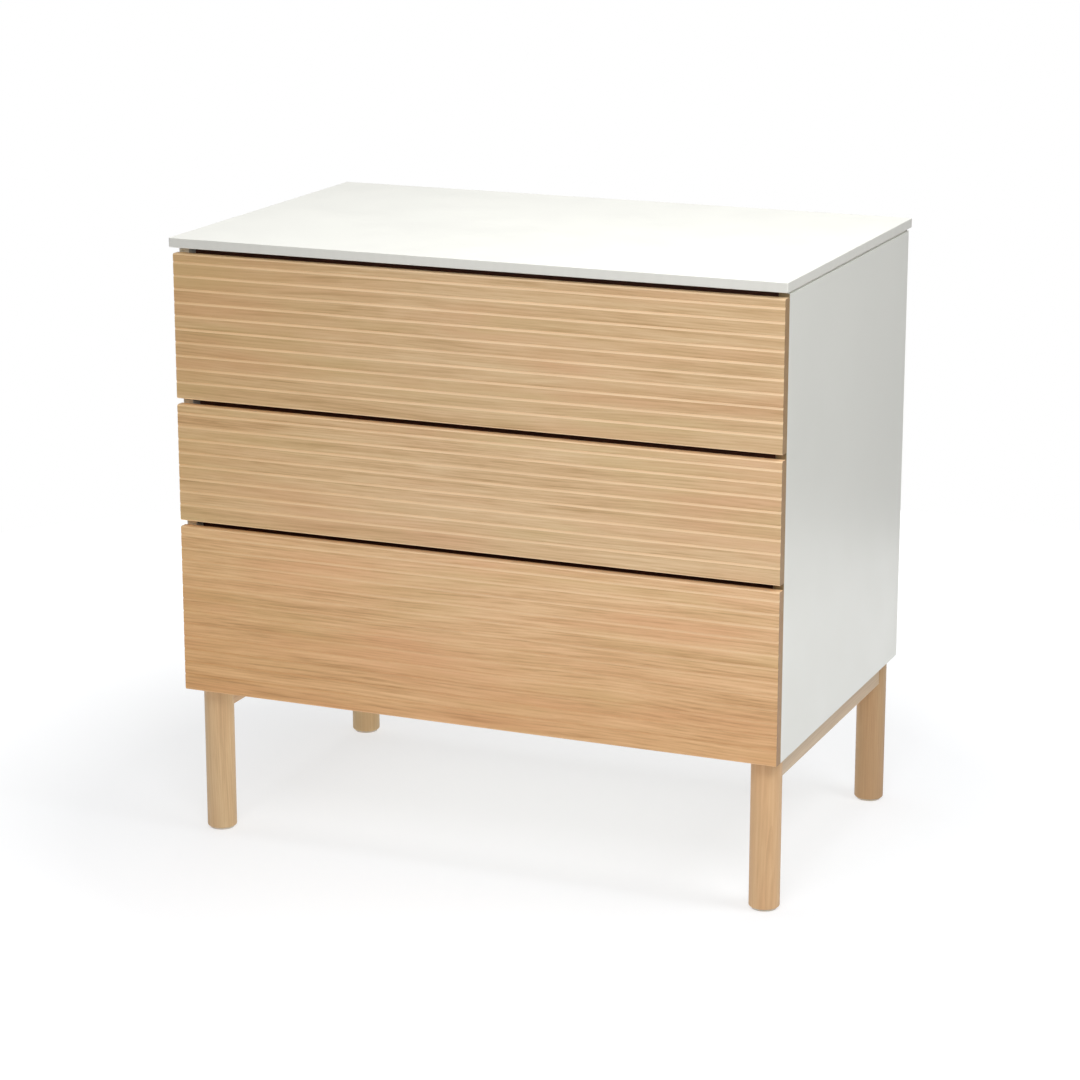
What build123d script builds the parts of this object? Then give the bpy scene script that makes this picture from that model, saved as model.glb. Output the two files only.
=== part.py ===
from build123d import *
import os

# A changing table: a three-drawer dresser whose flat top is the changing surface.
# Millimetres. +X is to the right, -Y out of the drawer fronts, +Z up. The origin lies on the
# floor under the middle of the top panel.

# Overall sizes
HEIGHT = 900.0
TOP_WIDTH = 928.0
TOP_DEPTH = 577.0
TOP_THICKNESS = 14.0
TOP_NOSE = 3.5                  # how far the top stands out in front of the drawer fronts
CASE_WIDTH = 919.0              # over the side panels, and the length of every drawer front
CASE_BOTTOM = 226.0
PANEL = 16.0
EDGE_BREAK = 1.0                # small rounding on lacquered and wooden edges
SHADOW_GAP = (3.0, 5.0)         # depth and height of the rebate in each side under the top

# Drawer fronts: (height, number of grooves), from the lowest up
FRONTS = {"lower": (249.0, 12), "middle": (172.5, 8), "upper": (211.5, 10)}
FRONT_THICKNESS = 18.0
FINGER_GAP = 9.0                # between two fronts
FRONT_CLEARANCE = 1.0           # between a closed front and the case
FRONT_BEVEL = 1.8               # on the long edges of a front's face
FINGER_BEVEL = 4.0              # on the top edge of a front, at the back
GROOVE_PITCH = 19.35
GROOVE_FIRST = 12.7             # from a front's top edge to the middle of its first groove
GROOVE_WIDTH = 3.8
GROOVE_DEPTH = 1.2
GROOVE_LIP = 0.3                # how far a groove's upper flank falls

# Rails inside the case
RAIL_THICKNESS = 20.0
RAIL_DEPTH = 60.0
RAIL_SETBACK = 20.0             # finger room behind the fronts
REAR_RAIL_HEIGHT = 70.0
BACK_PANEL = 4.0
BACK_RECESS = 8.5               # from the back edge of the case to the back panel
BACK_HOUSING = 6.0              # how deep the back panel sits in the side panels
BACK_SILL = 2.0                 # the back panel ends this far above the case's lower edge
GROOVE_PLAY = 0.1               # clearance of a thin panel in its groove

# Drawer boxes
BOX_HEIGHTS = {"lower": 170.0, "middle": 120.0, "upper": 150.0}
BOX_LENGTH = 500.0
BOX_CLEARANCE = 14.0            # under a box, above the panel or rail below it
BOX_SIDE = 12.0
BOX_BOTTOM = 5.0
BOTTOM_RAISED = 10.0            # underside of the box bottom above the box's lower edge
BOTTOM_HOUSING = 6.0
BACK_DADO = 3.0
BACK_INSET = 10.0               # the box back stands in from the ends of the box sides

# Telescopic slides
SLIDE_SPACE = 12.7              # between the case and a drawer box
SLIDE_STEEL = 1.2
SLIDE_LENGTH = 500.0
SLIDE_START = 2.0               # behind the front edge of the case
# member: (near edge, far edge, half height), near and far measured from the side panel
SLIDE_SECTIONS = {
    "case": (0.0, 10.5, 22.75),
    "intermediate": (4.2, 11.0, 18.5),
    "drawer": (6.4, 12.7, 14.6),
}
SLIDE_SCREWS = (37.0, 261.0, 453.0)   # along a member, from its front end

# Legs and base frame
LEG_RADIUS = 22.0
LEG_X = 430.0
LEG_FRONT_Y = -237.3
LEG_REAR_Y = 260.6
LEG_ROUNDING = 2.5
GLIDE_RADIUS = 18.0
GLIDE_HEIGHT = 3.0
GLIDE_PIN = (1.5, 14.0)         # radius and length of a glide's nail
BASE_RAIL_HEIGHT = 36.0
BASE_RAIL_WIDTH = 32.0
CROSS_RAIL_WIDTH = 25.0
CROSS_RAILS = {"front": -150.0, "rear": 160.0}
TENON = (12.0, 24.0)            # thickness and height
TENON_END = 8.0                 # from a leg's axis to the end of a tenon

# Fasteners
DOWEL = (4.0, 30.0)             # radius and length
DOWEL_IN_END = 20.0             # the part of a dowel in the end of a board
CAM_RADIUS = 7.5
CAM_DEPTH = 13.0
CAM_SETBACK = 24.0              # from the end of a board to the cam's axis
CAM_BOLT_RADIUS = 3.0
CAM_THREAD = (2.5, 10.0)        # radius and length of the bolt's threaded end
CAM_PLAY = 0.5                  # round a bolt in its cam, and behind a cam in a drawer side
CAM_SKIN = 2.5                  # wood left behind a cam in a drawer side
CAM_SHARES = (0.3, 0.8)         # heights of a drawer side's cams, as shares of its height
SCREW_RADIUS = 2.0
SCREW_LENGTH = 30.0
SCREW_HEAD_RADIUS = 4.0
SCREW_GRIP = 20.0               # wood between a countersunk screw's head and the panel it holds
SCREW_POCKET = 5.0              # radius of the deep pocket for a countersunk screw
PAN_SCREW = (1.75, 12.0)        # shank radius and length
PAN_HEAD = (3.5, 2.0)           # head radius and height
LEG_BOLT = (4.0, 61.0)
LEG_BOLT_HEAD = (8.0, 4.0)
FIT = 0.05                      # radial clearance of a fastener in its hole
HOLE_SPARE = 1.0                # how much deeper a blind hole is than what it takes
OVERRUN = 1.0                   # how far a cut runs past the face it starts at
WALL_HOLE_RADIUS = 2.75
WALL_HOLE_SPACING = 640.0

# Worked-out places
BACK_Y = TOP_DEPTH / 2
FRONT_Y = TOP_NOSE - BACK_Y
BOX_FRONT_Y = FRONT_Y + FRONT_THICKNESS
BOX_BACK_Y = BOX_FRONT_Y + BOX_LENGTH
CASE_FRONT_Y = BOX_FRONT_Y + FRONT_CLEARANCE
CASE_TOP = HEIGHT - TOP_THICKNESS
OUTER_X = CASE_WIDTH / 2
INNER_X = OUTER_X - PANEL
BOX_X = INNER_X - SLIDE_SPACE
BOX_INNER_X = BOX_X - BOX_SIDE
BACK_FACE_Y = BACK_Y - BACK_RECESS
BACK_INNER_Y = BACK_FACE_Y - BACK_PANEL
REAR_RAIL_Y = BACK_Y - PANEL / 2
RAIL_Y = (CASE_FRONT_Y + RAIL_SETBACK, CASE_FRONT_Y + RAIL_SETBACK + RAIL_DEPTH)
RAIL_MIDDLE_Y = sum(RAIL_Y) / 2
BASE_TOP = CASE_BOTTOM
BASE_BOTTOM = CASE_BOTTOM - BASE_RAIL_HEIGHT
BASE_MIDDLE = CASE_BOTTOM - BASE_RAIL_HEIGHT / 2
CROSS_RAIL_X = LEG_X - BASE_RAIL_WIDTH / 2
SIDES = {"left": -1, "right": 1}

FRONT_BOTTOMS = {
    "lower": CASE_BOTTOM,
    "middle": CASE_BOTTOM + FRONTS["lower"][0] + FINGER_GAP,
    "upper": CASE_BOTTOM + FRONTS["lower"][0] + FRONTS["middle"][0] + 2 * FINGER_GAP,
}
RAIL_TOPS = {
    "divider_rail_lower": FRONT_BOTTOMS["middle"],
    "divider_rail_upper": FRONT_BOTTOMS["upper"],
    "top_rail_front": CASE_TOP,
}
BOX_BOTTOMS = {
    "lower": CASE_BOTTOM + PANEL + BOX_CLEARANCE,
    "middle": FRONT_BOTTOMS["middle"] + BOX_CLEARANCE,
    "upper": FRONT_BOTTOMS["upper"] + BOX_CLEARANCE,
}

# (y, z) of the dowels and cam bolts in the ends of each board between the side panels
BOTTOM_Z = CASE_BOTTOM + PANEL / 2
REAR_RAIL_Z = CASE_TOP - REAR_RAIL_HEIGHT / 2
END_DOWELS = {
    "bottom_panel": [(y, BOTTOM_Z) for y in (-200.0, 0.0, 200.0)],
    "top_rail_rear": [(REAR_RAIL_Y, REAR_RAIL_Z + dz) for dz in (-20.0, 20.0)],
}
END_CAMS = {
    "bottom_panel": [(y, BOTTOM_Z) for y in (-120.0, 120.0)],
    "top_rail_rear": [(REAR_RAIL_Y, REAR_RAIL_Z)],
}
# for each of those boards, the way its cam pockets run and their start, before the bolt's axis
CAM_POCKETS = {"bottom_panel": ((0, 0, 1), PANEL / 2), "top_rail_rear": ((0, 1, 0), PANEL / 2)}
for rail, rail_top in RAIL_TOPS.items():
    END_DOWELS[rail] = [(RAIL_MIDDLE_Y + dy, rail_top - RAIL_THICKNESS / 2) for dy in (-18.0, 18.0)]
    END_CAMS[rail] = [(RAIL_MIDDLE_Y, rail_top - RAIL_THICKNESS / 2)]
    CAM_POCKETS[rail] = ((0, 0, 1), RAIL_THICKNESS / 2)

# Countersunk screws: up through the rails into the top, and up through the base into the case
SCREW_XS = (-300.0, 0.0, 300.0)
TOP_SCREWS = {
    "top_rail_front": [(x, RAIL_MIDDLE_Y, CASE_TOP - SCREW_GRIP) for x in SCREW_XS],
    "top_rail_rear": [(x, REAR_RAIL_Y, CASE_TOP - SCREW_GRIP) for x in SCREW_XS],
}
CROSS_SCREW_XS = (-250.0, 250.0)
SIDE_SCREW_YS = (-100.0, 100.0)
BASE_SCREW_Z = CASE_BOTTOM - SCREW_GRIP
CROSS_SCREWS = {
    name: [(x, y, BASE_SCREW_Z) for x in CROSS_SCREW_XS] for name, y in CROSS_RAILS.items()
}
SIDE_SCREWS = {
    name: [(side * LEG_X, y, BASE_SCREW_Z) for y in SIDE_SCREW_YS] for name, side in SIDES.items()
}
BACK_SCREW_XS = (-360.0, -120.0, 120.0, 360.0)
LEG_PLACES = {
    f"{end}_{name}": (side * LEG_X, y)
    for name, side in SIDES.items()
    for end, y in (("front", LEG_FRONT_Y), ("rear", LEG_REAR_Y))
}

os.makedirs("parts", exist_ok=True)


def save(part, label):
    """Label a finished piece and write it."""
    part.label = label
    export_step(part, f"parts/{label}.step")


def slab(xs, ys, zs, mode=Mode.ADD):
    """A block between the given (low, high) pairs, for the part being built."""
    with Locations(tuple((low + high) / 2 for low, high in (xs, ys, zs))):
        Box(*(high - low for low, high in (xs, ys, zs)), mode=mode)


def pegs(starts, direction, radius, length, mode=Mode.ADD):
    """Round pegs, or holes, that run from each start along the direction."""
    with Locations(*[Plane(origin=start, z_dir=direction) for start in starts]):
        Cylinder(radius, length, align=(Align.CENTER, Align.CENTER, Align.MIN), mode=mode)


def span(middle, width):
    """The (low, high) pair of a width about its middle."""
    return (middle - width / 2, middle + width / 2)


# ---------------------------------------------------------------- case

def cam_start(board, side, y, z):
    """Where a cam's pocket starts, on the face of its board."""
    direction, offset = CAM_POCKETS[board]
    return (
        side * (INNER_X - CAM_SETBACK),
        y - offset * direction[1],
        z - offset * direction[2],
    )


def end_holes(name):
    """Dowel holes, bolt bores and cam pockets in both ends of a board between the side panels."""
    cam_direction = CAM_POCKETS[name][0]
    for side in SIDES.values():
        inward = (-side, 0, 0)
        dowels = [(side * INNER_X, y, z) for y, z in END_DOWELS[name]]
        bolts = [(side * INNER_X, y, z) for y, z in END_CAMS[name]]
        cams = [cam_start(name, side, y, z) for y, z in END_CAMS[name]]
        pegs(dowels, inward, DOWEL[0] + FIT, DOWEL_IN_END + HOLE_SPARE, Mode.SUBTRACT)
        pegs(bolts, inward, CAM_BOLT_RADIUS + 2 * FIT, CAM_SETBACK, Mode.SUBTRACT)
        pegs(cams, cam_direction, CAM_RADIUS, CAM_DEPTH, Mode.SUBTRACT)


with BuildPart() as top_panel:
    slab(span(0, TOP_WIDTH), span(0, TOP_DEPTH), (CASE_TOP, HEIGHT))
    fillet(top_panel.edges().filter_by(Axis.Z), radius=2 * EDGE_BREAK)
    fillet(top_panel.faces().sort_by(Axis.Z)[-1].edges(), radius=EDGE_BREAK)
    chamfer(top_panel.faces().sort_by(Axis.Z)[0].edges(), length=EDGE_BREAK)
    for starts in TOP_SCREWS.values():
        pegs(starts, (0, 0, 1), SCREW_RADIUS + FIT, SCREW_LENGTH + HOLE_SPARE, Mode.SUBTRACT)
save(top_panel.part, "top_panel")

for name, side in SIDES.items():
    with BuildPart() as side_panel:
        slab(
            sorted((side * INNER_X, side * OUTER_X)),
            (CASE_FRONT_Y, BACK_Y),
            (CASE_BOTTOM, CASE_TOP),
        )
        fillet(side_panel.edges().filter_by(Axis.Z), radius=EDGE_BREAK)
        # a rebate under the top, which shows as a shadow line
        slab(
            sorted((side * (OUTER_X - SHADOW_GAP[0]), side * (OUTER_X + OVERRUN))),
            (CASE_FRONT_Y - OVERRUN, BACK_Y + OVERRUN),
            (CASE_TOP - SHADOW_GAP[1], CASE_TOP + OVERRUN),
            Mode.SUBTRACT,
        )
        slab(
            sorted((side * (INNER_X - OVERRUN), side * (INNER_X + BACK_HOUSING + GROOVE_PLAY))),
            (BACK_INNER_Y - GROOVE_PLAY, BACK_FACE_Y + GROOVE_PLAY),
            (CASE_BOTTOM, CASE_TOP - REAR_RAIL_HEIGHT + BACK_RECESS),
            Mode.SUBTRACT,
        )
        outward = (side, 0, 0)
        for board in END_DOWELS:
            dowels = [(side * INNER_X, y, z) for y, z in END_DOWELS[board]]
            bolts = [(side * INNER_X, y, z) for y, z in END_CAMS[board]]
            dowel_depth = DOWEL[1] - DOWEL_IN_END + HOLE_SPARE
            pegs(dowels, outward, DOWEL[0] + FIT, dowel_depth, Mode.SUBTRACT)
            pegs(bolts, outward, CAM_THREAD[0] + FIT, CAM_THREAD[1] + HOLE_SPARE, Mode.SUBTRACT)
        for level in FRONTS:
            slide_z = BOX_BOTTOMS[level] + BOX_HEIGHTS[level] / 2
            screws = [(side * INNER_X, CASE_FRONT_Y + SLIDE_START + y, slide_z) for y in SLIDE_SCREWS]
            pegs(screws, outward, PAN_SCREW[0] + FIT, PAN_SCREW[1], Mode.SUBTRACT)
    save(side_panel.part, f"side_panel_{name}")

with BuildPart() as bottom_panel:
    slab(span(0, 2 * INNER_X), (CASE_FRONT_Y, BACK_INNER_Y), (CASE_BOTTOM, CASE_BOTTOM + PANEL))
    end_holes("bottom_panel")
    for starts in [*CROSS_SCREWS.values(), *SIDE_SCREWS.values()]:
        pegs(starts, (0, 0, 1), SCREW_RADIUS + FIT, SCREW_LENGTH + HOLE_SPARE, Mode.SUBTRACT)
    legs = [(x, y, CASE_BOTTOM) for x, y in LEG_PLACES.values()]
    pegs(legs, (0, 0, 1), LEG_BOLT[0] + FIT, PANEL, Mode.SUBTRACT)
    screws = [(x, BACK_INNER_Y, BOTTOM_Z) for x in BACK_SCREW_XS]
    pegs(screws, (0, -1, 0), PAN_SCREW[0] + FIT, PAN_SCREW[1], Mode.SUBTRACT)
save(bottom_panel.part, "bottom_panel")

with BuildPart() as back_panel:
    slab(
        span(0, 2 * (INNER_X + BACK_HOUSING)),
        (BACK_INNER_Y, BACK_FACE_Y),
        (CASE_BOTTOM + BACK_SILL, CASE_TOP - REAR_RAIL_HEIGHT + BACK_RECESS - GROOVE_PLAY),
    )
    screws = [(x, BACK_FACE_Y, BOTTOM_Z) for x in BACK_SCREW_XS]
    pegs(screws, (0, -1, 0), PAN_SCREW[0] + FIT, BACK_PANEL, Mode.SUBTRACT)
save(back_panel.part, "back_panel")

# the rear rail takes the back panel in a groove and has the two wall-fixing holes
with BuildPart() as top_rail_rear:
    rail_zs = (CASE_TOP - REAR_RAIL_HEIGHT, CASE_TOP)
    slab(span(0, 2 * INNER_X), span(REAR_RAIL_Y, PANEL), rail_zs)
    slab(
        span(0, 2 * INNER_X),
        (BACK_INNER_Y - GROOVE_PLAY, BACK_FACE_Y + GROOVE_PLAY),
        (rail_zs[0], rail_zs[0] + BACK_RECESS),
        Mode.SUBTRACT,
    )
    end_holes("top_rail_rear")
    pockets = [(x, y, rail_zs[0]) for x, y, _ in TOP_SCREWS["top_rail_rear"]]
    pegs(pockets, (0, 0, 1), SCREW_POCKET, REAR_RAIL_HEIGHT - SCREW_GRIP, Mode.SUBTRACT)
    with Locations(*[Plane(origin=start, z_dir=(0, 0, -1)) for start in TOP_SCREWS["top_rail_rear"]]):
        CounterSinkHole(SCREW_RADIUS + FIT, SCREW_HEAD_RADIUS + FIT, SCREW_GRIP, 90)
    wall_holes = [(x, BACK_Y - PANEL, REAR_RAIL_Z) for x in span(0, WALL_HOLE_SPACING)]
    pegs(wall_holes, (0, 1, 0), WALL_HOLE_RADIUS, PANEL, Mode.SUBTRACT)
save(top_rail_rear.part, "top_rail_rear")

for rail, rail_top in RAIL_TOPS.items():
    with BuildPart() as cross_board:
        slab(span(0, 2 * INNER_X), RAIL_Y, (rail_top - RAIL_THICKNESS, rail_top))
        end_holes(rail)
        if rail in TOP_SCREWS:
            with Locations(*[Plane(origin=start, z_dir=(0, 0, -1)) for start in TOP_SCREWS[rail]]):
                CounterSinkHole(SCREW_RADIUS + FIT, SCREW_HEAD_RADIUS + FIT, SCREW_GRIP, 90)
    save(cross_board.part, rail)


# ---------------------------------------------------------------- legs and base frame

for place, (x, y) in LEG_PLACES.items():
    inward = 1 if y < 0 else -1
    with BuildPart() as leg:
        pegs([(x, y, GLIDE_HEIGHT)], (0, 0, 1), LEG_RADIUS, CASE_BOTTOM - GLIDE_HEIGHT)
        fillet(leg.faces().sort_by(Axis.Z)[0].edges(), radius=LEG_ROUNDING)
        # mortise for the base rail's tenon
        mortise = sorted((y + inward * (TENON_END - HOLE_SPARE), y + inward * LEG_RADIUS))
        slab(
            span(x, TENON[0] + 2 * FIT),
            mortise,
            span(BASE_MIDDLE, TENON[1] + 2 * FIT),
            Mode.SUBTRACT,
        )
        bolt_depth = LEG_BOLT[1] - PANEL + HOLE_SPARE
        pegs([(x, y, CASE_BOTTOM)], (0, 0, -1), LEG_BOLT[0] + FIT, bolt_depth, Mode.SUBTRACT)
        pegs([(x, y, GLIDE_HEIGHT)], (0, 0, 1), GLIDE_PIN[0] + FIT, GLIDE_PIN[1], Mode.SUBTRACT)
    save(leg.part, f"leg_{place}")

for name, side in SIDES.items():
    with BuildPart() as base_rail:
        slab(
            span(side * LEG_X, BASE_RAIL_WIDTH),
            (LEG_FRONT_Y, LEG_REAR_Y),
            (BASE_BOTTOM, BASE_TOP),
        )
        # the ends are coped to the round legs, with a tenon into each leg
        leg_feet = [(side * LEG_X, y, BASE_BOTTOM) for y in (LEG_FRONT_Y, LEG_REAR_Y)]
        pegs(leg_feet, (0, 0, 1), LEG_RADIUS + FIT, BASE_RAIL_HEIGHT, Mode.SUBTRACT)
        slab(
            span(side * LEG_X, TENON[0]),
            (LEG_FRONT_Y + TENON_END, LEG_REAR_Y - TENON_END),
            span(BASE_MIDDLE, TENON[1]),
        )
        dowels = [(side * CROSS_RAIL_X, y, BASE_MIDDLE) for y in CROSS_RAILS.values()]
        dowel_depth = DOWEL[1] - DOWEL_IN_END + HOLE_SPARE
        pegs(dowels, (side, 0, 0), DOWEL[0] + FIT, dowel_depth, Mode.SUBTRACT)
        pockets = [(x, y, BASE_BOTTOM) for x, y, _ in SIDE_SCREWS[name]]
        pegs(pockets, (0, 0, 1), SCREW_POCKET, BASE_RAIL_HEIGHT - SCREW_GRIP, Mode.SUBTRACT)
        with Locations(*[Plane(origin=start, z_dir=(0, 0, -1)) for start in SIDE_SCREWS[name]]):
            CounterSinkHole(SCREW_RADIUS + FIT, SCREW_HEAD_RADIUS + FIT, SCREW_GRIP, 90)
    save(base_rail.part, f"base_rail_{name}")

for name, y in CROSS_RAILS.items():
    with BuildPart() as cross_rail:
        slab(span(0, 2 * CROSS_RAIL_X), span(y, CROSS_RAIL_WIDTH), (BASE_BOTTOM, BASE_TOP))
        for side in SIDES.values():
            dowel = [(side * CROSS_RAIL_X, y, BASE_MIDDLE)]
            pegs(dowel, (-side, 0, 0), DOWEL[0] + FIT, DOWEL_IN_END + HOLE_SPARE, Mode.SUBTRACT)
        pockets = [(x, y, BASE_BOTTOM) for x, y, _ in CROSS_SCREWS[name]]
        pegs(pockets, (0, 0, 1), SCREW_POCKET, BASE_RAIL_HEIGHT - SCREW_GRIP, Mode.SUBTRACT)
        with Locations(*[Plane(origin=start, z_dir=(0, 0, -1)) for start in CROSS_SCREWS[name]]):
            CounterSinkHole(SCREW_RADIUS + FIT, SCREW_HEAD_RADIUS + FIT, SCREW_GRIP, 90)
    save(cross_rail.part, f"base_cross_rail_{name}")

with BuildPart() as foot_glides:
    feet = [(x, y, 0) for x, y in LEG_PLACES.values()]
    pegs(feet, (0, 0, 1), GLIDE_RADIUS, GLIDE_HEIGHT)
    pegs(feet, (0, 0, 1), GLIDE_PIN[0], GLIDE_PIN[1])
save(foot_glides.part, "foot_glides")


# ---------------------------------------------------------------- fasteners in the case

with BuildPart() as leg_bolts:
    heads = [(x, y, CASE_BOTTOM + PANEL) for x, y in LEG_PLACES.values()]
    pegs(heads, (0, 0, -1), *LEG_BOLT)
    pegs(heads, (0, 0, 1), *LEG_BOLT_HEAD)
save(leg_bolts.part, "leg_bolts")

with BuildPart() as dowels:
    for side in SIDES.values():
        overlap = side * (DOWEL[1] - DOWEL_IN_END)
        for positions in END_DOWELS.values():
            starts = [(side * INNER_X + overlap, y, z) for y, z in positions]
            pegs(starts, (-side, 0, 0), *DOWEL)
        starts = [(side * CROSS_RAIL_X + overlap, y, BASE_MIDDLE) for y in CROSS_RAILS.values()]
        pegs(starts, (-side, 0, 0), *DOWEL)
save(dowels.part, "dowels")


CAM_SLOT = CAM_SETBACK - CAM_RADIUS     # from the board's end to the cam's rim


def cam_bolt(face, inward):
    """A bolt screwed into one board's face, reaching into the cam of the board that meets it."""
    outward = tuple(-v for v in inward)
    pegs([face], outward, *CAM_THREAD)
    pegs([face], inward, CAM_BOLT_RADIUS, CAM_SETBACK - HOLE_SPARE)


with BuildPart() as cam_fittings:
    for side in SIDES.values():
        for board, positions in END_CAMS.items():
            for y, z in positions:
                start = cam_start(board, side, y, z)
                pegs([start], CAM_POCKETS[board][0], CAM_RADIUS - FIT, CAM_DEPTH - FIT)
                slot = (side * (INNER_X - CAM_SLOT), y, z)
                pegs([slot], (-side, 0, 0), CAM_BOLT_RADIUS + CAM_PLAY, CAM_RADIUS, Mode.SUBTRACT)
                cam_bolt((side * INNER_X, y, z), (-side, 0, 0))
save(cam_fittings.part, "cam_fittings")

with BuildPart() as countersunk_screws:
    places = [*TOP_SCREWS.values(), *CROSS_SCREWS.values(), *SIDE_SCREWS.values()]
    starts = [start for group in places for start in group]
    pegs(starts, (0, 0, 1), SCREW_RADIUS, SCREW_LENGTH)
    with Locations(*starts):
        Cone(
            SCREW_HEAD_RADIUS,
            SCREW_RADIUS,
            SCREW_HEAD_RADIUS - SCREW_RADIUS,
            align=(Align.CENTER, Align.CENTER, Align.MIN),
        )
save(countersunk_screws.part, "countersunk_screws")


def pan_screws(heads, direction):
    """Pan-head screws whose heads rest on the given points."""
    pegs(heads, direction, *PAN_SCREW)
    pegs(heads, tuple(-v for v in direction), *PAN_HEAD)


with BuildPart() as pan_head_screws:
    pan_screws([(x, BACK_FACE_Y, BOTTOM_Z) for x in BACK_SCREW_XS], (0, -1, 0))
    for side in SIDES.values():
        for level in FRONTS:
            slide_z = BOX_BOTTOMS[level] + BOX_HEIGHTS[level] / 2
            web_x = side * (INNER_X - SLIDE_STEEL)
            heads = [(web_x, CASE_FRONT_Y + SLIDE_START + y, slide_z) for y in SLIDE_SCREWS]
            pan_screws(heads, (side, 0, 0))
save(pan_head_screws.part, "pan_head_screws")


# ---------------------------------------------------------------- drawers

def drawer_cams(level):
    """Middles of the two cams in the front end of a drawer side, as (y, z)."""
    bottom, height = BOX_BOTTOMS[level], BOX_HEIGHTS[level]
    return [(BOX_FRONT_Y + CAM_SETBACK, bottom + height * share) for share in CAM_SHARES]


for level, (height, grooves) in FRONTS.items():
    bottom = FRONT_BOTTOMS[level]
    box_bottom = BOX_BOTTOMS[level]
    box_top = box_bottom + BOX_HEIGHTS[level]
    floor_zs = (box_bottom + BOTTOM_RAISED, box_bottom + BOTTOM_RAISED + BOX_BOTTOM)
    groove_zs = (floor_zs[0] - GROOVE_PLAY, floor_zs[1] + GROOVE_PLAY)
    slide_z = box_bottom + BOX_HEIGHTS[level] / 2
    slide_front_y = CASE_FRONT_Y + SLIDE_START
    cam_side_x = BOX_X - BOX_SIDE / 2

    # the front: its grooves run the whole length, and their lower flanks face upward
    with BuildPart() as front:
        with BuildSketch(Plane.YZ.offset(-OUTER_X)) as profile:
            with Locations((FRONT_Y + FRONT_THICKNESS / 2, bottom + height / 2)):
                Rectangle(FRONT_THICKNESS, height)
            first = bottom + height - GROOVE_FIRST
            with Locations(*[(FRONT_Y, first - row * GROOVE_PITCH) for row in range(grooves)]):
                Polygon(
                    (0, GROOVE_WIDTH / 2),
                    (GROOVE_DEPTH, GROOVE_WIDTH / 2 - GROOVE_LIP),
                    (0, -GROOVE_WIDTH / 2),
                    align=None,
                    mode=Mode.SUBTRACT,
                )
        extrude(amount=CASE_WIDTH)
        long_edges = front.edges().filter_by(Axis.X)
        face_edges = long_edges.group_by(Axis.Y)[0].sort_by(Axis.Z)
        back_edges = long_edges.group_by(Axis.Y)[-1].sort_by(Axis.Z)
        chamfer([face_edges[0], face_edges[-1]], length=FRONT_BEVEL)
        fillet(back_edges[0], radius=EDGE_BREAK)
        chamfer(back_edges[-1], length=FINGER_BEVEL)
        slab(
            span(0, 2 * (BOX_INNER_X + BOTTOM_HOUSING + GROOVE_PLAY)),
            (BOX_FRONT_Y - BOTTOM_HOUSING - GROOVE_PLAY, BOX_FRONT_Y),
            groove_zs,
            Mode.SUBTRACT,
        )
        for side in SIDES.values():
            bolts = [(side * cam_side_x, BOX_FRONT_Y, z) for _, z in drawer_cams(level)]
            thread_depth = CAM_THREAD[1] + HOLE_SPARE
            pegs(bolts, (0, -1, 0), CAM_THREAD[0] + FIT, thread_depth, Mode.SUBTRACT)
    save(front.part, f"{level}_drawer_front")

    for name, side in SIDES.items():
        with BuildPart() as box_side:
            slab(
                sorted((side * BOX_INNER_X, side * BOX_X)),
                (BOX_FRONT_Y, BOX_BACK_Y),
                (box_bottom, box_top),
            )
            fillet(box_side.faces().sort_by(Axis.Z)[-1].edges().filter_by(Axis.Y), radius=EDGE_BREAK)
            slab(
                sorted((side * BOX_INNER_X, side * (BOX_INNER_X + BOTTOM_HOUSING + GROOVE_PLAY))),
                (BOX_FRONT_Y, BOX_BACK_Y),
                groove_zs,
                Mode.SUBTRACT,
            )
            dado_back = BOX_BACK_Y - BACK_INSET
            slab(
                sorted((side * BOX_INNER_X, side * (BOX_INNER_X + BACK_DADO))),
                (dado_back - BOX_SIDE, dado_back),
                (floor_zs[1], box_top),
                Mode.SUBTRACT,
            )
            cams = [(side * BOX_INNER_X, y, z) for y, z in drawer_cams(level)]
            bolts = [(side * cam_side_x, BOX_FRONT_Y, z) for _, y, z in cams]
            pegs(cams, (side, 0, 0), CAM_RADIUS, BOX_SIDE - CAM_SKIN, Mode.SUBTRACT)
            pegs(bolts, (0, 1, 0), CAM_BOLT_RADIUS + 2 * FIT, CAM_SETBACK, Mode.SUBTRACT)
            screws = [(side * BOX_X, slide_front_y + y, slide_z) for y in SLIDE_SCREWS]
            screw_depth = PAN_SCREW[1] - SLIDE_STEEL + FIT
            pegs(screws, (-side, 0, 0), PAN_SCREW[0] + FIT, screw_depth, Mode.SUBTRACT)
        save(box_side.part, f"{level}_drawer_side_{name}")

    with BuildPart() as box_back:
        slab(
            span(0, 2 * (BOX_INNER_X + BACK_DADO)),
            (BOX_BACK_Y - BACK_INSET - BOX_SIDE, BOX_BACK_Y - BACK_INSET),
            (floor_zs[1], box_top),
        )
        fillet(box_back.faces().sort_by(Axis.Z)[-1].edges().filter_by(Axis.X), radius=EDGE_BREAK)
    save(box_back.part, f"{level}_drawer_back")

    with BuildPart() as box_floor:
        slab(
            span(0, 2 * (BOX_INNER_X + BOTTOM_HOUSING)),
            (BOX_FRONT_Y - BOTTOM_HOUSING, BOX_BACK_Y - BACK_INSET / 2),
            floor_zs,
        )
    save(box_floor.part, f"{level}_drawer_bottom")

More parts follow.
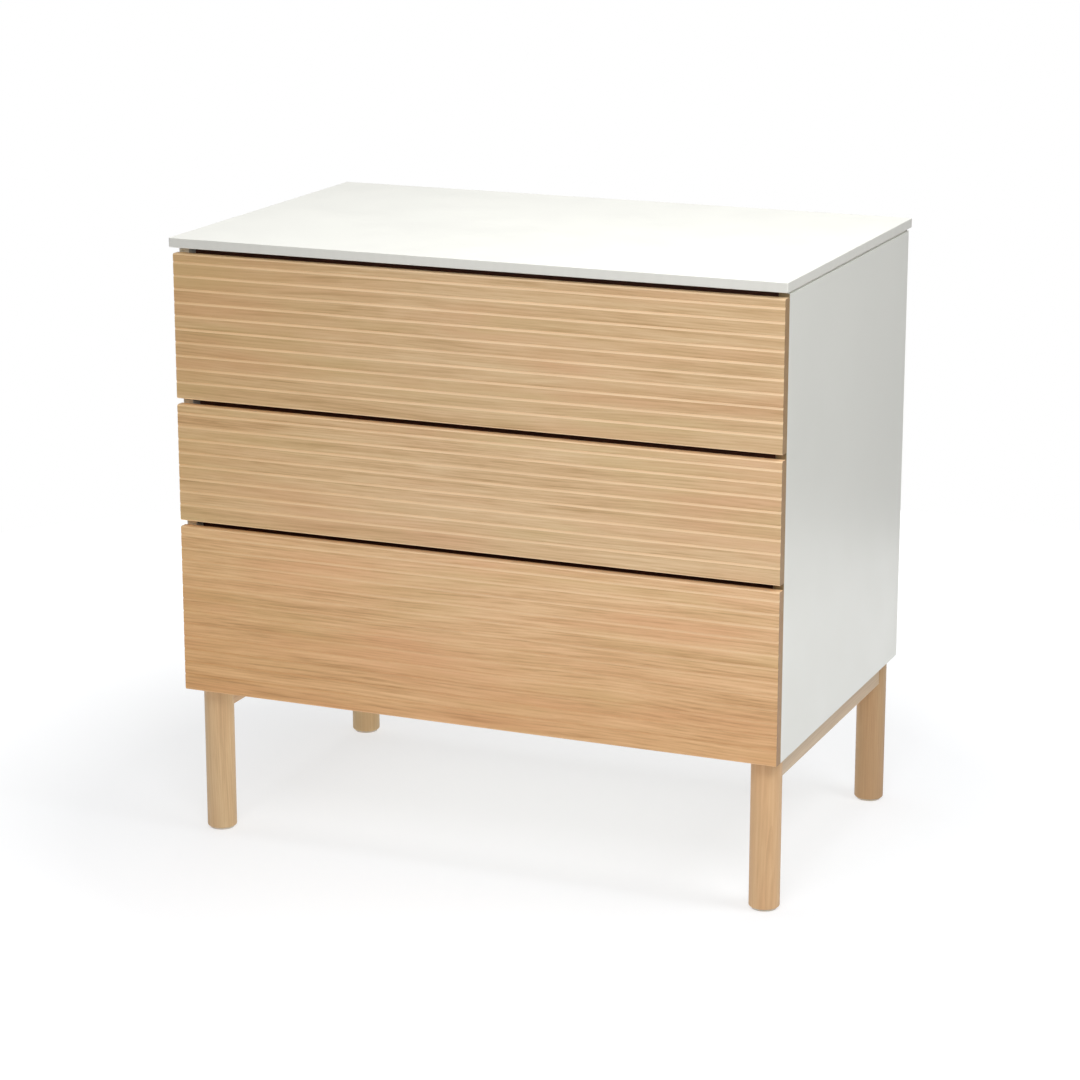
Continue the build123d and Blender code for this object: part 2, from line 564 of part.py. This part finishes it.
    # one STEP for a drawer's small fittings: cams and bolts at the front, screws of its slides
    with BuildPart() as fittings:
        for side in SIDES.values():
            for y, z in drawer_cams(level):
                cam_height = BOX_SIDE - CAM_SKIN - CAM_PLAY
                pegs([(side * BOX_INNER_X, y, z)], (side, 0, 0), CAM_RADIUS - FIT, cam_height)
                slot = (side * cam_side_x, BOX_FRONT_Y + CAM_SLOT, z)
                pegs([slot], (0, 1, 0), CAM_BOLT_RADIUS + CAM_PLAY, CAM_RADIUS, Mode.SUBTRACT)
                cam_bolt((side * cam_side_x, BOX_FRONT_Y, z), (0, 1, 0))
            web_x = side * (BOX_X + SLIDE_STEEL)
            pan_screws([(web_x, slide_front_y + y, slide_z) for y in SLIDE_SCREWS], (-side, 0, 0))
    save(fittings.part, f"{level}_drawer_fittings")

    # slides: three nested channels a side, the first and last screwed to case and drawer
    for name, side in SIDES.items():
        for member, (near, far, half_height) in SLIDE_SECTIONS.items():
            opening = -SLIDE_STEEL if member == "drawer" else SLIDE_STEEL
            end_plane = Plane(
                origin=(side * INNER_X, slide_front_y, slide_z),
                x_dir=(-side, 0, 0),
                z_dir=(0, 1, 0),
            )
            with BuildPart() as channel:
                with BuildSketch(end_plane):
                    with Locations(((near + far) / 2, 0)):
                        Rectangle(far - near, 2 * half_height)
                    with Locations(((near + far) / 2 + opening, 0)):
                        Rectangle(far - near, 2 * (half_height - SLIDE_STEEL), mode=Mode.SUBTRACT)
                extrude(amount=SLIDE_LENGTH)
                web_x = side * (INNER_X - (far if member == "drawer" else near))
                inward = (side if member == "drawer" else -side, 0, 0)
                if member != "intermediate":
                    screws = [(web_x, slide_front_y + y, slide_z) for y in SLIDE_SCREWS]
                    pegs(screws, inward, PAN_SCREW[0] + FIT, SLIDE_STEEL, Mode.SUBTRACT)
            save(channel.part, f"{level}_slide_{name}_{member}_member")
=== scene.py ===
"""The looks of a three-drawer changing table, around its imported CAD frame.

Metres, in the frame's own axes: +X to the right, -Y out of the drawer fronts, +Z up.
"""

import math

import bmesh
import bpy
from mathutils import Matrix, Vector


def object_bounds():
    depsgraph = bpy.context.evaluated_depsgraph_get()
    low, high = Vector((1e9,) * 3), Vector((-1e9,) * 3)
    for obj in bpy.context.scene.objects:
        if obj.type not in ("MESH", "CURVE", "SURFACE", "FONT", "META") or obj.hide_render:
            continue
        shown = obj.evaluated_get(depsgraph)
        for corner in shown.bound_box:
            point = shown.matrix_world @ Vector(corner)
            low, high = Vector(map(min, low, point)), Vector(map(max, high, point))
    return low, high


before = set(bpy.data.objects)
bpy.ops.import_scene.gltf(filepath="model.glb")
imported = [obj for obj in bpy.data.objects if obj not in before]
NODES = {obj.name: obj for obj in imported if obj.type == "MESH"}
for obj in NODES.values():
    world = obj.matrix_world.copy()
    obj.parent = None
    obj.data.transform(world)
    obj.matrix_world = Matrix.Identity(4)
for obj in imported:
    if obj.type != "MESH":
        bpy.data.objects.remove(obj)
CAD_LOW, CAD_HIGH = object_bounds()
LEVELS = ("lower", "middle", "upper")
SIDES = ("left", "right")

# Camera: a long lens, a little above the top and to the right of the fronts
CAMERA_AZIMUTH = 22.74          # degrees; 0 looks along +Y
CAMERA_ELEVATION = 14.94
CAMERA_DISTANCE = 4.757
CAMERA_TARGET = (-0.011, 0.0, 0.430)
CAMERA_LENS = 106.48            # mm, on a 36 mm sensor

# Light: white surroundings behind the object, and large softboxes that all point at its middle
BACKDROP_GLOW = 0.52            # what the white backdrop sheds on the object
BACKDROP_WAY = (-0.6, 0.8, 0.0)     # where it is brightest: behind the object and to its left
FLOOR_RADIUS = 2.0
FLOOR_SIDES = 96
FLOOR_GLOW = 0.66               # under the object; it grows to 1 where the floor meets the backdrop
FLOOR_GLOW_REACH = (0.7, 1.5)   # metres from the middle between which it grows
FLOOR_ALBEDO = (0.36, 0.37, 0.385)
LIGHT_TARGET = (0.0, 0.0, 0.45)
# name: (azimuth, elevation, distance, size, watts); azimuth 0 is in front, 90 on the +X side
SOFTBOXES = {
    "key": (10.0, 45.0, 3.0, 1.2, 25.3),
    "fill": (30.0, 25.0, 2.5, 1.0, 15.4),
    "side": (85.0, 45.0, 2.5, 1.0, 22.3),
    "overhead": (180.0, 88.0, 2.4, 1.6, 33.0),
}


# ---------------------------------------------------------------- node graphs

class Graph:
    """A material and its nodes. Each call adds a node and gives back its output socket."""

    def __init__(self, name, **constants):
        self.material = bpy.data.materials.new(name)
        self.material.use_nodes = True
        self.tree = self.material.node_tree
        self.shader = self.tree.nodes["Principled BSDF"]
        self.set(**constants)

    def set(self, **sockets):
        """Feeds the shader: a socket's name with _ for a space, and a value or an output."""
        for name, value in sockets.items():
            self.feed(self.shader.inputs[name.replace("_", " ")], value)

    def feed(self, socket, value):
        if isinstance(value, bpy.types.NodeSocket):
            self.tree.links.new(value, socket)
        elif value is not None:
            socket.default_value = value

    def node(self, kind, inputs=(), **settings):
        made = self.tree.nodes.new(kind)
        for name, value in settings.items():
            setattr(made, name, value)
        for socket, value in inputs:
            self.feed(made.inputs[socket], value)
        return made

    def math(self, operation, a, b=None, c=None):
        inputs = ((0, a), (1, b), (2, c))
        return self.node("ShaderNodeMath", inputs, operation=operation).outputs[0]

    def vector(self, operation, a, b):
        made = self.node("ShaderNodeVectorMath", ((0, a), (1, b)), operation=operation)
        return made.outputs["Value" if operation == "LENGTH" else "Vector"]

    def scaled(self, vector, factors):
        return self.vector("MULTIPLY", vector, factors)

    def mix(self, factor, a, b, blend="MIX"):
        made = self.node("ShaderNodeMix", ((0, factor), (6, a), (7, b)),
                         data_type="RGBA", blend_type=blend)
        return made.outputs[2]

    def span(self, value, low, high, to_low=0.0, to_high=1.0):
        """value from low..high to to_low..to_high, clamped."""
        inputs = ((0, value), (1, low), (2, high), (3, to_low), (4, to_high))
        return self.node("ShaderNodeMapRange", inputs).outputs[0]

    def ramp(self, value, stops):
        made = self.node("ShaderNodeValToRGB", ((0, value),))
        elements = made.color_ramp.elements
        while len(elements) < len(stops):
            elements.new(0.5)
        for element, (place, colour) in zip(elements, stops):
            element.position = place
            element.color = colour
        return made.outputs["Color"]

    def noise(self, vector, scale=1.0, detail=2.0, roughness=0.5, output="Fac"):
        inputs = (("Vector", vector), ("Scale", scale), ("Detail", detail),
                  ("Roughness", roughness))
        return self.node("ShaderNodeTexNoise", inputs).outputs[output]

    def bump(self, height, distance, strength=1.0, under=None):
        inputs = (("Height", height), ("Distance", distance), ("Strength", strength),
                  ("Normal", under))
        return self.node("ShaderNodeBump", inputs).outputs["Normal"]

    def object_place(self):
        return self.node("ShaderNodeTexCoord").outputs["Object"]

    def object_normal(self):
        return self.node("ShaderNodeTexCoord").outputs["Normal"]


def colour(red, green, blue):
    """A colour given as 0..255 sRGB, as the linear RGBA that sockets take."""
    def linear(level):
        share = level / 255.0
        return share / 12.92 if share <= 0.04045 else ((share + 0.055) / 1.055) ** 2.4
    return (linear(red), linear(green), linear(blue), 1.0)


# ---------------------------------------------------------------- wood

# Tones of each wood, dark to light, with the two tints that lie over them in soft patches
OAK = {"dark": colour(192, 154, 110), "middle": colour(224, 189, 148),
       "light": colour(240, 210, 172), "tint_a": colour(230, 180, 142),
       "tint_b": colour(214, 190, 140), "end": colour(136, 104, 68)}
# Painted highlight: a pale tone laid on the fronts' groove flanks and bevels so that they look lit
OAK_SLOPE_HIGHLIGHT = colour(251, 219, 178)   # where the fronts' grooves and bevels are cut
# How strong each front's painted highlight is, at its foot and at its top: on the lowest front it
# fades towards the foot
FRONT_SLOPE_HIGHLIGHTS = {"upper": (1.0, 1.0), "middle": (1.0, 1.0), "lower": (0.25, 0.9)}
BEECH = {"dark": colour(196, 150, 112), "middle": colour(222, 178, 136),
         "light": colour(236, 198, 158), "tint_a": colour(224, 172, 130),
         "tint_b": colour(216, 176, 136), "end": colour(184, 138, 98)}
BIRCH = {"dark": colour(214, 186, 148), "middle": colour(232, 210, 176),
         "light": colour(242, 224, 194), "tint_a": colour(236, 206, 168),
         "tint_b": colour(226, 208, 176), "end": colour(202, 170, 128)}
BIRCH_CONTRAST = 0.6
# Dark stained wood for the rails behind the drawer gaps; its darkness is also painted shade, which
# makes the gaps look deep
STAIN_AND_GAP_SHADE = {"dark": colour(84, 46, 34), "middle": colour(104, 60, 45),
           "light": colour(122, 74, 56), "tint_a": colour(108, 58, 42),
           "tint_b": colour(98, 60, 45), "end": colour(70, 40, 31)}

# How each piece's wood differs from its kind's tones, as shares of red, green and blue. They
# were set for this light and take up some of it: made alike, they give a neutral set of boards
FRONT_TINTS = {"upper": (0.93, 0.915, 0.85), "middle": (0.965, 0.95, 0.89),
               "lower": (1.035, 0.965, 0.875)}
FRONT_CONTRASTS = {"upper": 1.25, "middle": 1.4, "lower": 1.6}
LEG_TINTS = {"front_left": (0.965, 1.07, 1.03), "front_right": (0.955, 0.98, 0.90),
             "rear_left": (1.06, 1.22, 1.14), "rear_right": (0.71, 0.73, 0.66)}
BASE_RAIL_TINTS = {"left": (0.95, 0.98, 0.97), "right": (0.88, 1.07, 1.24)}
CROSS_RAIL_TINT = (0.88, 1.07, 1.24)

# Painted shade: the fronts grow darker and more golden towards their left end, between these places
# on X
OAK_LEFT_SHADE = (0.985, 0.945, 0.84, 1.0)
LEFT_SHADE_REACH = (-0.05, -0.47)
# The lowest front grows darker and redder towards its foot
OAK_FOOT = (0.93, 0.83, 0.71, 1.0)

AXES = {"x": ("X", "Y", "Z"), "y": ("Y", "X", "Z"), "z": ("Z", "X", "Y")}
SEED_STEP = (3.71, 1.93, 2.57)      # metres between the places that two boards are cut from

# How long and how wide the streaks of each layer are, in metres, and their noise's detail
BANDS = (0.45, 0.016, 2.0)
FLAMES = (0.085, 0.0042, 3.0)
FIBRES = (0.030, 0.0010, 3.0)
PORES = (0.007, 0.00035, 1.0)
WARM_PATCHES = (0.32, 0.055, 2.0)
GREEN_PATCHES = (0.22, 0.040, 2.0)
UNEVEN_SLOPES = (0.12, 0.006, 2.0)
# How much each layer moves the tone: 1 is from the dark tone to the light one
BAND_WEIGHT = 0.85
FLAME_WEIGHT = 0.75
FIBRE_WEIGHT = 0.40
RING_WEIGHT = -0.16
# A surface counts as a slope, or as end grain, as this share of its normal grows
SLOPE_FACING = (0.12, 0.28)
END_FACING = (0.6, 0.9)
DRIFT = 0.030                       # metres that the grain wanders across the board


def tinted(tones, tint):
    return {name: (*(level * share for level, share in zip(tone, tint)), 1.0)
            for name, tone in tones.items()}


def grain_place(g, grain, seed):
    """The place in the wood: along the grain, then the two directions across it."""
    parts = g.node("ShaderNodeSeparateXYZ", ((0, g.object_place()),)).outputs
    along, across, through = (parts[axis] for axis in AXES[grain])
    turned = g.node("ShaderNodeCombineXYZ", ((0, along), (1, across), (2, through)))
    return g.vector("ADD", turned.outputs[0], tuple(step * seed for step in SEED_STEP))


def streaks(g, place, length, width, detail):
    """Noise drawn out along the grain, about 0.5 in the middle of its range."""
    return g.noise(g.scaled(place, (1 / length, 1 / width, 1 / width)), detail=detail)


def growth_rings(g, place, seed, heart, spacing):
    """How dark the wood is for its place in a year's growth, 1 at the porous early wood."""
    offset = tuple(step * seed + shift for step, shift in zip(SEED_STEP, (0.0, *heart)))
    from_heart = g.scaled(g.vector("SUBTRACT", place, offset), (0.0, 1.0, 1.0))
    years = g.math("DIVIDE", g.vector("LENGTH", from_heart, None), spacing)
    uneven = g.noise(g.scaled(place, (2.0, 60.0, 60.0)), detail=1.0)
    years = g.math("MULTIPLY_ADD", uneven, 2.5, years)
    return g.span(g.math("FRACT", years), 0.0, 0.7, 1.0, 0.0)


def wood(name, tones, grain, seed, heart=(0.15, -0.45), spacing=0.0042, contrast=1.0,
         rough=(0.40, 0.56), slope_highlights=None, fades=()):
    """Clear-lacquered wood: growth rings, streaks, fibres and pores drawn out along the grain.

    A painted highlight can be laid on bevels and groove flanks, which slope up or down: its tone,
    and its strength from one height to another, come as one argument. fades are tints, each growing
    along an axis between two places: on the fronts, painted shade towards their left end, and a
    darker, redder foot on the lowest front.
    """
    g = Graph(name)
    straight = grain_place(g, grain, seed)
    drift = g.noise(g.scaled(straight, (1.6, 5.0, 5.0)), detail=1.0, output="Color")
    drift = g.scaled(g.vector("SUBTRACT", drift, (0.5, 0.5, 0.5)), (0.0, DRIFT, DRIFT))
    place = g.vector("ADD", straight, drift)

    rings = growth_rings(g, place, seed, heart, spacing)
    bands = streaks(g, place, *BANDS)
    flames = streaks(g, place, *FLAMES)
    fibres = streaks(g, place, *FIBRES)
    pores = g.span(streaks(g, place, *PORES), 0.60, 0.72)
    pores = g.math("MULTIPLY", pores, rings)

    weight = BAND_WEIGHT * contrast
    tone = g.math("MULTIPLY_ADD", bands, weight, 0.5 - weight / 2)
    for layer, weight in ((flames, FLAME_WEIGHT), (fibres, FIBRE_WEIGHT), (rings, RING_WEIGHT)):
        weight = weight * contrast
        tone = g.math("MULTIPLY_ADD", layer, weight, tone)
        tone = g.math("SUBTRACT", tone, weight / 2)
    stops = ((0.0, tones["dark"]), (0.5, tones["middle"]), (1.0, tones["light"]))
    paint = g.ramp(tone, stops)

    warm = g.span(streaks(g, straight, *WARM_PATCHES), 0.45, 0.68, 0.0, 0.75)
    mirrored = g.scaled(straight, (1.0, -1.0, 1.0))
    green = g.span(streaks(g, mirrored, *GREEN_PATCHES), 0.50, 0.72, 0.0, 0.60)
    paint = g.mix(warm, paint, g.mix(0.6, paint, tones["tint_a"]))
    paint = g.mix(green, paint, g.mix(0.6, paint, tones["tint_b"]))
    paint = g.mix(g.math("MULTIPLY", pores, 0.35), paint, tones["dark"])

    facing = g.node("ShaderNodeSeparateXYZ", ((0, g.object_normal()),)).outputs
    spot = g.node("ShaderNodeSeparateXYZ", ((0, g.object_place()),)).outputs
    # painted highlight on bevels and groove flanks, which face partly up or down
    if slope_highlights:
        highlight_tone, *reach = slope_highlights
        slope = g.span(g.math("ABSOLUTE", facing["Z"]), *SLOPE_FACING)
        uneven = g.span(streaks(g, straight, *UNEVEN_SLOPES), 0.35, 0.65, 0.75, 1.0)
        slope = g.math("MULTIPLY", slope, uneven)
        slope = g.math("MULTIPLY", slope, g.span(spot["Z"], *reach))
        paint = g.mix(slope, paint, highlight_tone)
    # tints along an axis, among them painted shade towards the fronts' left end
    for tint, axis, start, end in fades:
        paint = g.mix(g.span(spot[axis], start, end), paint, tint, "MULTIPLY")
    end_grain = g.span(g.math("ABSOLUTE", facing[AXES[grain][0]]), *END_FACING)
    soaked = g.mix(0.7, paint, tones["end"])
    paint = g.mix(end_grain, paint, soaked)

    relief = g.math("MULTIPLY_ADD", fibres, 0.6, g.math("MULTIPLY", flames, 0.4))
    relief = g.math("MULTIPLY_ADD", pores, -0.5, relief)
    g.set(Base_Color=paint, Roughness=g.span(fibres, 0.3, 0.7, *rough),
          Normal=g.bump(relief, 0.00018, 0.6))
    return g.material


# ---------------------------------------------------------------- the other materials

TOP_WHITE = colour(242, 242, 235)
CASE_WHITE = colour(236, 236, 229)
BOARD_WHITE = colour(228, 225, 215)
# The two tones of the strip round the top, and of the band on each side panel's front edge, which
# shows in the gaps: on the right it is painted shade, on the left painted light, paler than the
# case
TOP_LIPPING = (colour(232, 231, 224), colour(229, 228, 221))
SIDE_EDGE_LIGHT_AND_SHADE = {"left": (colour(252, 246, 230), colour(244, 237, 218)),
                 "right": (colour(158, 142, 112), colour(142, 126, 98))}


def lacquer(name, tone, seed, edge_band=None):
    """Satin sprayed lacquer: an even colour, a faint orange peel and softly varying gloss.

    The last argument gives the two tones of a band on the board's edges, and the axis of the
    surface's normal with the two values between which the band takes over from the face: lipping
    round the top, painted shade on the right side panel's front edge and painted light on the left
    one's.
    """
    g = Graph(name, IOR=1.5, Coat_Weight=0.15, Coat_Roughness=0.22)
    place = g.vector("ADD", g.object_place(), (seed * 1.7, seed * 2.3, seed * 0.9))
    cloud = g.noise(place, 2.6, 3.0)
    paint = g.mix(g.span(cloud, 0.35, 0.65), tone,
                  tuple(0.975 * level for level in tone[:3]) + (1.0,))
    speck = g.noise(place, 900.0, 1.0)
    paint = g.mix(g.span(speck, 0.64, 0.74, 0.0, 0.05), paint, colour(206, 202, 190))
    # the band on the edges: lipping round the top; painted shade on the right side panel's front
    # edge, painted light on the left one's
    if edge_band:
        light, dark, axis, *limits = edge_band
        facing = g.node("ShaderNodeSeparateXYZ", ((0, g.object_normal()),)).outputs
        fibre = g.noise(g.scaled(g.object_place(), (90.0, 90.0, 12.0)), detail=4.0)
        strip = g.mix(g.span(fibre, 0.3, 0.7), light, dark)
        paint = g.mix(g.span(facing[axis], *limits), paint, strip)
    peel = g.noise(place, 260.0, 1.5)
    g.set(Base_Color=paint, Roughness=g.span(g.noise(place, 14.0, 3.0), 0.3, 0.7, 0.30, 0.40),
          Normal=g.bump(peel, 0.00006, 0.5))
    return g.material


def faced_board(name, tone):
    """Thin board with a smooth white face and the faint felted print of pressed fibre."""
    g = Graph(name)
    place = g.object_place()
    felt = g.noise(g.scaled(place, (220.0, 220.0, 220.0)), detail=4.0, roughness=0.7)
    cloud = g.noise(place, 5.0, 2.0)
    paint = g.mix(g.span(felt, 0.35, 0.65, 0.0, 0.5), tone, colour(214, 209, 196))
    paint = g.mix(g.span(cloud, 0.4, 0.7, 0.0, 0.25), paint, colour(222, 218, 208))
    g.set(Base_Color=paint, Roughness=g.span(felt, 0.3, 0.7, 0.52, 0.66),
          Normal=g.bump(felt, 0.00008, 0.5))
    return g.material


def zinc_steel(name):
    """Rolled, zinc-plated steel: fine lines along Y, with cloudy passivation."""
    g = Graph(name, Metallic=1.0)
    place = g.object_place()
    lines = g.noise(g.scaled(place, (2200.0, 18.0, 2200.0)), detail=2.0)
    cloud = g.noise(place, 35.0, 4.0, 0.6)
    paint = g.mix(g.span(cloud, 0.35, 0.65), colour(196, 199, 204), colour(208, 207, 198))
    paint = g.mix(g.span(lines, 0.4, 0.7, 0.0, 0.35), paint, colour(172, 175, 180))
    rough = g.math("MULTIPLY_ADD", cloud, 0.16, g.span(lines, 0.3, 0.7, 0.18, 0.30))
    g.set(Base_Color=paint, Roughness=rough, Normal=g.bump(lines, 0.00003, 0.5))
    return g.material


def nylon(name):
    """Moulded nylon: slightly see-through, with a fine spark-eroded skin."""
    g = Graph(name, Subsurface_Weight=0.25, Subsurface_Scale=0.003)
    place = g.object_place()
    skin = g.noise(place, 1600.0, 2.0)
    cloud = g.noise(place, 60.0, 2.0)
    paint = g.mix(g.span(cloud, 0.35, 0.65), colour(226, 221, 207), colour(216, 210, 194))
    g.set(Base_Color=paint, Roughness=g.span(skin, 0.3, 0.7, 0.38, 0.50),
          Normal=g.bump(skin, 0.00004, 0.4))
    return g.material


# ---------------------------------------------------------------- finishing the CAD parts

def paint(material, *names):
    for name in names:
        NODES[name].data.materials.clear()
        NODES[name].data.materials.append(material)


def paint_case():
    edge_band = (*TOP_LIPPING, "Z", 0.6, 0.2)
    paint(lacquer("lacquer_top_panel", TOP_WHITE, 1, edge_band), "top_panel")
    for seed, side in enumerate(SIDES, start=2):
        name = f"side_panel_{side}"
        # painted shade on the right panel's front edge, painted light on the left one's
        edge_band = (*SIDE_EDGE_LIGHT_AND_SHADE[side], "Y", -0.5, -0.9)
        paint(lacquer(f"lacquer_{name}", CASE_WHITE, seed, edge_band), name)
    for seed, name in enumerate(("bottom_panel", "top_rail_rear"), start=4):
        paint(lacquer(f"lacquer_{name}", CASE_WHITE, seed), name)
    board = faced_board("white_board", BOARD_WHITE)
    paint(board, "back_panel", *(f"{level}_drawer_bottom" for level in LEVELS))
    # the rails behind the drawer gaps: dark stain, which also serves as painted shade in the gaps
    for seed, name in enumerate(("top_rail_front", "divider_rail_upper",
                                 "divider_rail_lower"), start=40):
        paint(wood(f"stained_gap_shade_{name}", STAIN_AND_GAP_SHADE, "x", seed), name)


def paint_base():
    for seed, corner in enumerate(("front_left", "front_right", "rear_left", "rear_right"),
                                  start=10):
        heart = (0.05 + 0.01 * seed, 0.09)
        tones = tinted(BEECH, LEG_TINTS[corner])
        paint(wood(f"beech_leg_{corner}", tones, "z", seed, heart, 0.0032), f"leg_{corner}")
    for seed, side in enumerate(SIDES, start=20):
        tones = tinted(BEECH, BASE_RAIL_TINTS[side])
        paint(wood(f"beech_base_rail_{side}", tones, "y", seed), f"base_rail_{side}")
    tones = tinted(BEECH, CROSS_RAIL_TINT)
    for seed, end in enumerate(("front", "rear"), start=24):
        paint(wood(f"beech_cross_rail_{end}", tones, "x", seed), f"base_cross_rail_{end}")
    paint(nylon("pale_nylon"), "foot_glides")


def paint_drawers():
    """Fronts from seed 1, box sides from 32 and box backs from 51, so no two boards match."""
    for seed, level in enumerate(LEVELS, start=1):
        front = f"{level}_drawer_front"
        heights = [vertex.co.z for vertex in NODES[front].data.vertices]
        foot, top = min(heights), max(heights)
        # painted highlight on the grooves and bevels, fading towards the lowest front's foot
        slope_highlights = (OAK_SLOPE_HIGHLIGHT, foot, top, *FRONT_SLOPE_HIGHLIGHTS[level])
        # painted shade towards the fronts' left end
        fades = [(OAK_LEFT_SHADE, "X", *LEFT_SHADE_REACH)]
        if level == "lower":
            fades.append((OAK_FOOT, "Z", top, foot))
        paint(wood(f"oak_{level}_front", tinted(OAK, FRONT_TINTS[level]), "x", seed,
                   contrast=FRONT_CONTRASTS[level], slope_highlights=slope_highlights, fades=fades), front)
        for side in SIDES:
            name = f"{level}_drawer_side_{side}"
            paint(wood(f"birch_{name}", BIRCH, "y", 30 + 2 * seed + SIDES.index(side),
                       contrast=BIRCH_CONTRAST), name)
        paint(wood(f"birch_{level}_back", BIRCH, "x", 50 + seed, contrast=BIRCH_CONTRAST),
              f"{level}_drawer_back")


def paint_metal():
    steel = zinc_steel("zinc_steel")
    metal = [name for name in NODES if "_member" in name or name.endswith("_fittings")]
    paint(steel, *metal, "leg_bolts", "countersunk_screws", "pan_head_screws")
    paint(wood("birch_dowels", BIRCH, "x", 60, contrast=BIRCH_CONTRAST), "dowels")


# ---------------------------------------------------------------- stage, light and camera

def direction(azimuth, elevation):
    """The way from the object towards a place round it."""
    azimuth, elevation = math.radians(azimuth), math.radians(elevation)
    return Vector((math.sin(azimuth) * math.cos(elevation),
                   -math.cos(azimuth) * math.cos(elevation), math.sin(elevation)))


def place_round(obj, target, away, distance):
    """Puts obj at a distance from the target and points it there."""
    obj.location = Vector(target) + away * distance
    obj.rotation_mode = "QUATERNION"
    obj.rotation_quaternion = (-away).to_track_quat("-Z", "Y")
    bpy.context.scene.collection.objects.link(obj)


def make_floor():
    """A round white floor, which melts into the white surroundings."""
    mesh = bpy.data.meshes.new("studio_floor")
    disc = bmesh.new()
    bmesh.ops.create_circle(disc, cap_ends=True, segments=FLOOR_SIDES, radius=FLOOR_RADIUS)
    disc.to_mesh(mesh)
    disc.free()
    floor = bpy.data.objects.new("studio_floor", mesh)
    floor.location.z = CAD_LOW.z
    bpy.context.scene.collection.objects.link(floor)
    g = Graph("studio_floor", Base_Color=(*FLOOR_ALBEDO, 1.0), Roughness=0.9,
              Specular_IOR_Level=0.1, Emission_Color=(1.0, 1.0, 1.0, 1.0))
    from_middle = g.vector("LENGTH", g.object_place(), None)
    g.set(Emission_Strength=g.span(from_middle, *FLOOR_GLOW_REACH, FLOOR_GLOW, 1.0))
    # seen from below, the floor is clear, so that the underside of the object can be looked at
    from_below = g.node("ShaderNodeNewGeometry").outputs["Backfacing"]
    clear = g.node("ShaderNodeBsdfTransparent").outputs[0]
    sheet = g.node("ShaderNodeMixShader", ((0, from_below), (1, g.shader.outputs[0]), (2, clear)))
    g.tree.links.new(sheet.outputs[0], g.tree.nodes["Material Output"].inputs["Surface"])
    g.material.cycles.emission_sampling = "NONE"
    mesh.materials.append(g.material)


def make_world():
    """White all round to the camera. On the object, only the backdrop behind it sheds light."""
    world = bpy.data.worlds.new("white_studio")
    bpy.context.scene.world = world
    world.use_nodes = True
    tree = world.node_tree

    def node(kind, **settings):
        made = tree.nodes.new(kind)
        for name, value in settings.items():
            setattr(made, name, value)
        return made

    way = node("ShaderNodeVectorMath", operation="DOT_PRODUCT")
    way.inputs[1].default_value = BACKDROP_WAY
    tree.links.new(node("ShaderNodeTexCoord").outputs["Generated"], way.inputs[0])
    shed = node("ShaderNodeMapRange")
    shed.inputs["To Max"].default_value = BACKDROP_GLOW
    tree.links.new(way.outputs["Value"], shed.inputs["Value"])
    strength = node("ShaderNodeMix")
    strength.inputs["B"].default_value = 1.0
    tree.links.new(node("ShaderNodeLightPath").outputs["Is Camera Ray"], strength.inputs[0])
    tree.links.new(shed.outputs["Result"], strength.inputs["A"])
    background = tree.nodes["Background"]
    background.inputs["Color"].default_value = (1.0, 1.0, 1.0, 1.0)
    tree.links.new(strength.outputs["Result"], background.inputs["Strength"])


def make_lights():
    for name, (azimuth, elevation, distance, size, watts) in SOFTBOXES.items():
        light = bpy.data.lights.new(name, "AREA")
        light.size = size
        light.energy = watts
        place_round(bpy.data.objects.new(name, light), LIGHT_TARGET,
                    direction(azimuth, elevation), distance)


def make_camera():
    camera = bpy.data.objects.new("camera", bpy.data.cameras.new("camera"))
    camera.data.lens = CAMERA_LENS
    place_round(camera, CAMERA_TARGET, direction(CAMERA_AZIMUTH, CAMERA_ELEVATION),
                CAMERA_DISTANCE)
    bpy.context.scene.camera = camera
    bpy.context.scene.view_settings.view_transform = "Standard"


paint_case()
paint_base()
paint_drawers()
paint_metal()
make_floor()
make_world()
make_lights()
make_camera()
